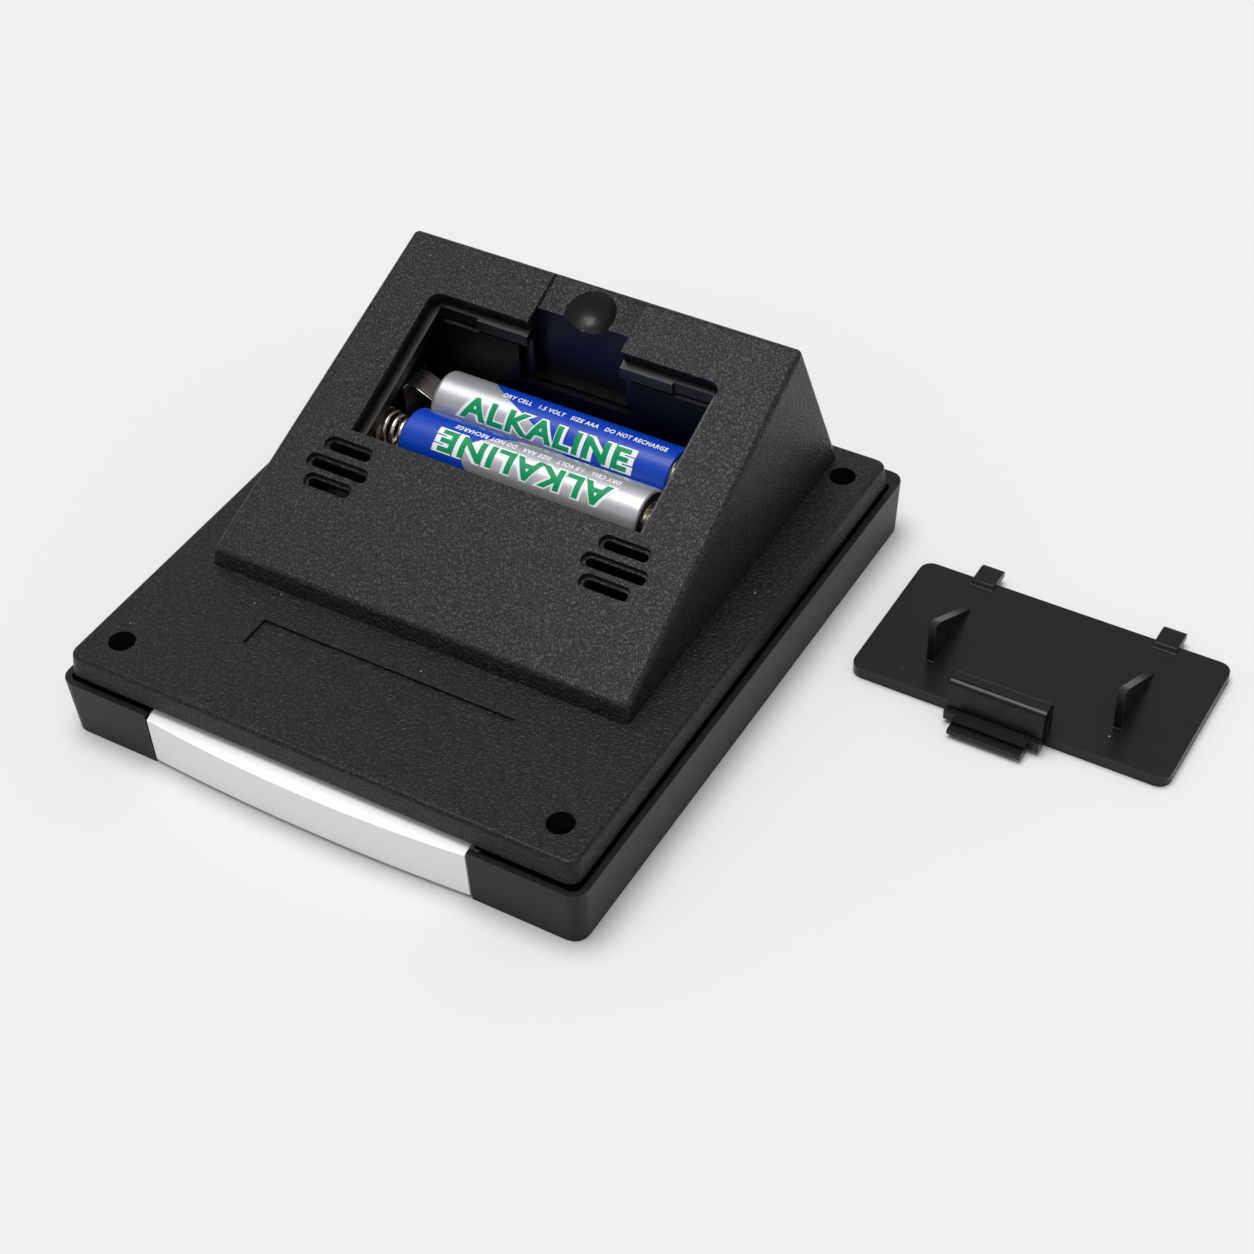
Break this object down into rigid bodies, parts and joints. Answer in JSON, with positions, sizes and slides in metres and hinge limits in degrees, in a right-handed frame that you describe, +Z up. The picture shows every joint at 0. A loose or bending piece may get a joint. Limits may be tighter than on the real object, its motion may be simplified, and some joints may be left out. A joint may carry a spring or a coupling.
{
  "type": "desk alarm clock",
  "caption": "Battery desk alarm clock lying on its face: shallow case with a wedge stand, open battery compartment with cells, snooze bar, and its loose battery cover beside it.",
  "frame": {"origin": "centre of the display lens's outer face, which lies on the surface", "axes": "+Z up, from the clock's face to its back; +X along the snooze bar's edge; +Y from the snooze bar towards the edge that the clock stands on in use"},
  "size_m": [0.153, 0.1042, 0.0425],
  "materials": {
    "frame_plastic": "satin black ABS, finely spark-textured",
    "housing_plastic": "black ABS with a moulded leather grain",
    "tray_plastic": "smooth black ABS",
    "cover_plastic": "satin black ABS",
    "bar_plastic": "satin white ABS",
    "key_plastic": "satin dark grey ABS",
    "clear_lens": "clear polished plastic",
    "lcd_glass": "liquid crystal glass",
    "diffuser_acrylic": "milky acrylic",
    "reflector_film": "bright white film",
    "silicone": "matt silicone rubber",
    "board_laminate": "green solder mask",
    "black_resin": "moulded black resin",
    "nickel_plate": "bright nickel plating",
    "screw_steel": "zinc-plated steel",
    "cell_wrap": "glossy printed sleeve, blue and silver",
    "cell_gasket": "nylon seal",
    "red_insulation": "PVC",
    "black_insulation": "PVC"
  },
  "bodies": {
    "clock": {"front_frame": "frame_plastic", "front_lens": "clear_lens", "lcd_glass": "lcd_glass", "lcd_reflector": "reflector_film", "light_diffuser": "diffuser_acrylic", "zebra_strip_upper": "silicone", "zebra_strip_lower": "silicone", "backlight_led": "diffuser_acrylic", "main_board": "board_laminate", "controller_blob": "black_resin", "clock_crystal": "screw_steel", "supply_capacitor": "black_resin", "alarm_buzzer": "black_resin", "snooze_switch": "black_resin", "key_pad": "silicone", "back_cover": "housing_plastic", "stand_housing": "housing_plastic", "battery_tray": "tray_plastic", "negative_plate": "nickel_plate", "positive_plate": "nickel_plate", "link_plate": "nickel_plate", "left_spring": "nickel_plate", "right_spring": "nickel_plate", "negative_wire": "black_insulation", "positive_wire": "red_insulation", "case_screw_1": "screw_steel", "board_screw_1": "screw_steel", "housing_screw_1": "screw_steel", "case_screw_2": "screw_steel", "board_screw_2": "screw_steel", "housing_screw_2": "screw_steel", "case_screw_3": "screw_steel", "board_screw_3": "screw_steel", "housing_screw_3": "screw_steel", "case_screw_4": "screw_steel", "board_screw_4": "screw_steel", "housing_screw_4": "screw_steel"},
    "snooze": {"snooze_bar": "bar_plastic"},
    "snooze_plunger": {"snooze_plunger": "bar_plastic"},
    "battery_cover": {"cover_plate": "cover_plastic"},
    "cover_latch": {"cover_latch": "cover_plastic"},
    "key_1": {"key_cap_1": "key_plastic"},
    "key_2": {"key_cap_2": "key_plastic"},
    "key_3": {"key_cap_3": "key_plastic"},
    "key_4": {"key_cap_4": "key_plastic"},
    "cell_1": {"cell_1_jacket": "cell_wrap", "cell_1_insulator": "cell_gasket", "cell_1_positive_cap": "nickel_plate", "cell_1_negative_cap": "nickel_plate"},
    "cell_2": {"cell_2_jacket": "cell_wrap", "cell_2_insulator": "cell_gasket", "cell_2_positive_cap": "nickel_plate", "cell_2_negative_cap": "nickel_plate"}
  },
  "joints": [
    {"name": "snooze_press", "type": "slide", "parent": "clock", "child": "snooze", "axis": [0, 1, 0], "range_m": [0, 0.0008], "stiffness_N_per_m": 400, "springref_m": -0.0008},
    {"name": "switch_press", "type": "slide", "parent": "clock", "child": "snooze_plunger", "axis": [0, 1, 0], "range_m": [0, 0.0008]},
    {"name": "cell_1_lift", "type": "slide", "parent": "clock", "child": "cell_1", "axis": [0, 0, 1], "range_m": [0, 0.04]},
    {"name": "cell_2_lift", "type": "slide", "parent": "clock", "child": "cell_2", "axis": [0, 0, 1], "range_m": [0, 0.04]},
    {"name": "cover_lift", "type": "slide", "parent": "clock", "child": "battery_cover", "axis": [0, 0, 1], "range_m": [0, 0.06]},
    {"name": "latch_flex", "type": "hinge", "parent": "battery_cover", "child": "cover_latch", "pos_m": [0.0794, 0.0169, 0.0065], "axis": [1, 0, 0], "range_deg": [0, 5], "stiffness_Nm_per_rad": 0.05, "springref_deg": -2.86},
    {"name": "key_1_press", "type": "slide", "parent": "clock", "child": "key_1", "axis": [0, 0, 1], "range_m": [0, 0.0008], "stiffness_N_per_m": 300, "springref_m": -0.0005},
    {"name": "key_2_press", "type": "slide", "parent": "clock", "child": "key_2", "axis": [0, 0, 1], "range_m": [0, 0.0008], "stiffness_N_per_m": 300, "springref_m": -0.0005},
    {"name": "key_3_press", "type": "slide", "parent": "clock", "child": "key_3", "axis": [0, 0, 1], "range_m": [0, 0.0008], "stiffness_N_per_m": 300, "springref_m": -0.0005},
    {"name": "key_4_press", "type": "slide", "parent": "clock", "child": "key_4", "axis": [0, 0, 1], "range_m": [0, 0.0008], "stiffness_N_per_m": 300, "springref_m": -0.0005}
  ],
  "couplings": [
    {"joint": "switch_press", "follows": "snooze_press", "ratio": 1}
  ]
}
